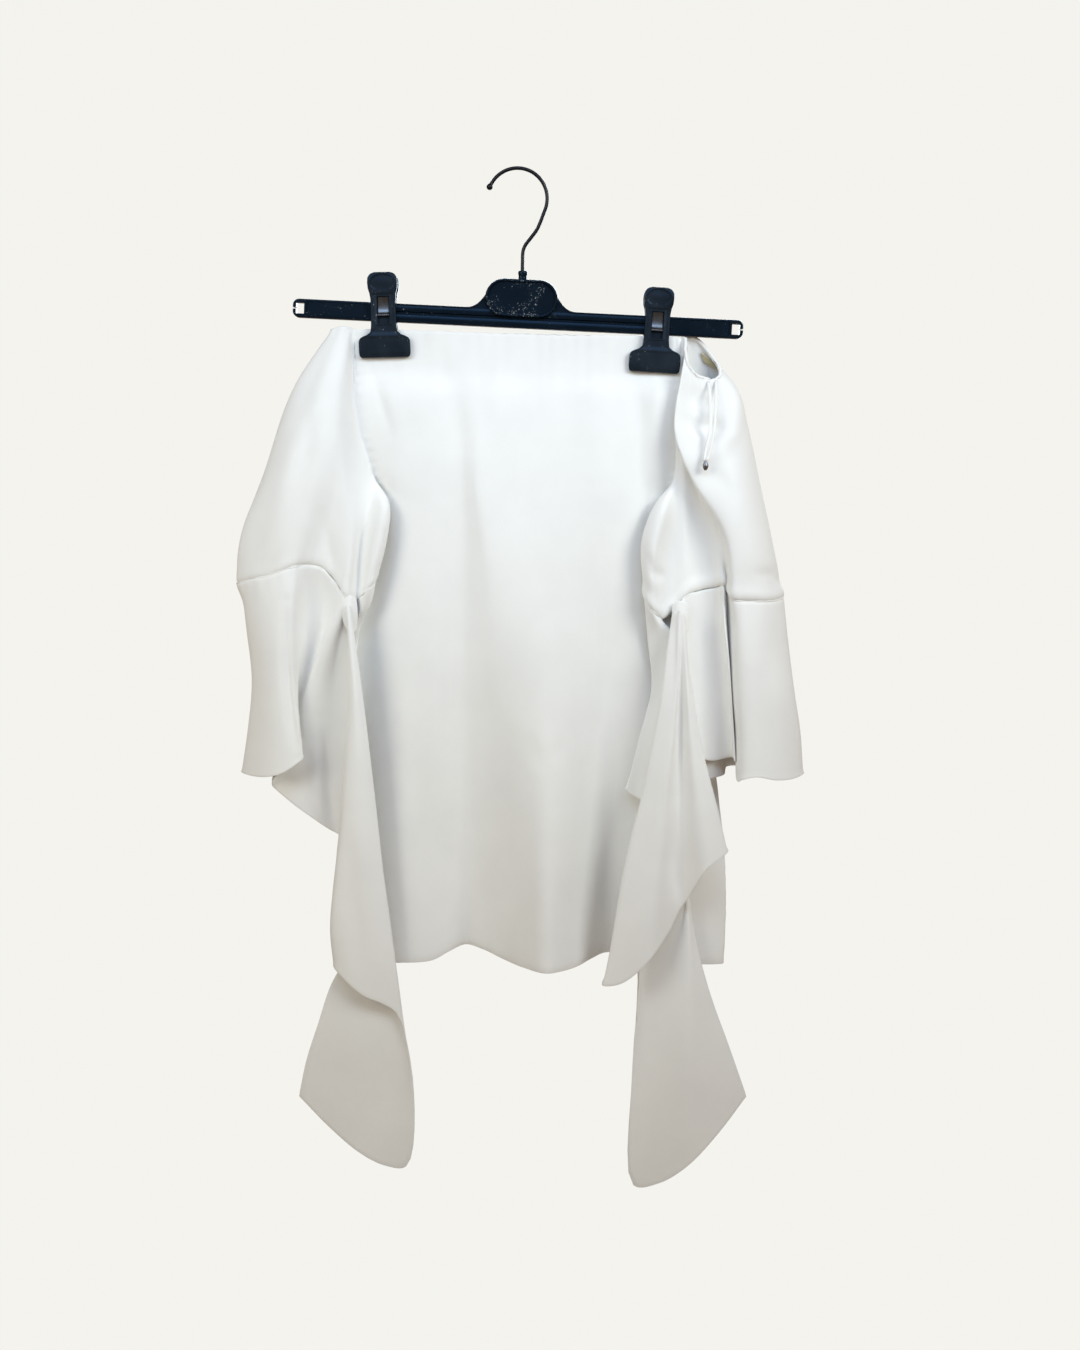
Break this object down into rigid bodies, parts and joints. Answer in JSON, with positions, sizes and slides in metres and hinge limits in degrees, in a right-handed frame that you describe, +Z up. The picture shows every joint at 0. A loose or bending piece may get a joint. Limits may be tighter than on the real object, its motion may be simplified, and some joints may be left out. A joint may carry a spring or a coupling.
{
  "type": "off-shoulder top on clip hanger",
  "caption": "Off-shoulder top with long cascading sleeve flounces, hung by its neckline from a two-clip bar hanger with a wire hook.",
  "frame": {"origin": "rest point of the hanger's hook, at the top of the wire's inner side", "axes": "+X to the wearer's left as seen from the front, -Y towards the front, +Z up"},
  "size_m": [0.5106, 0.0996, 0.9121],
  "materials": {
    "crepe": "matte ivory scuba crepe",
    "ribbon": "narrow white satin ribbon",
    "grip_tape": "clear-khaki rubberised grip tape",
    "black_plastic": "satin near-black moulded plastic, lightly scuffed",
    "gunmetal": "dark gunmetal wire",
    "spring_steel": "bright spring strip"
  },
  "bodies": {
    "root": {"bodice_front": "crepe", "bodice_back": "crepe", "sleeve_left": "crepe", "sleeve_right": "crepe", "flounce_left": "crepe", "flounce_right": "crepe", "grip_tape": "grip_tape", "ribbon_left": "ribbon", "ribbon_right": "ribbon", "ribbon_bead": "gunmetal", "hook": "gunmetal", "hanger_bar": "black_plastic", "clip_left_front": "black_plastic", "clip_left_back": "black_plastic", "clip_left_spring": "spring_steel", "clip_right_front": "black_plastic", "clip_right_back": "black_plastic", "clip_right_spring": "spring_steel"}
  },
  "joints": []
}
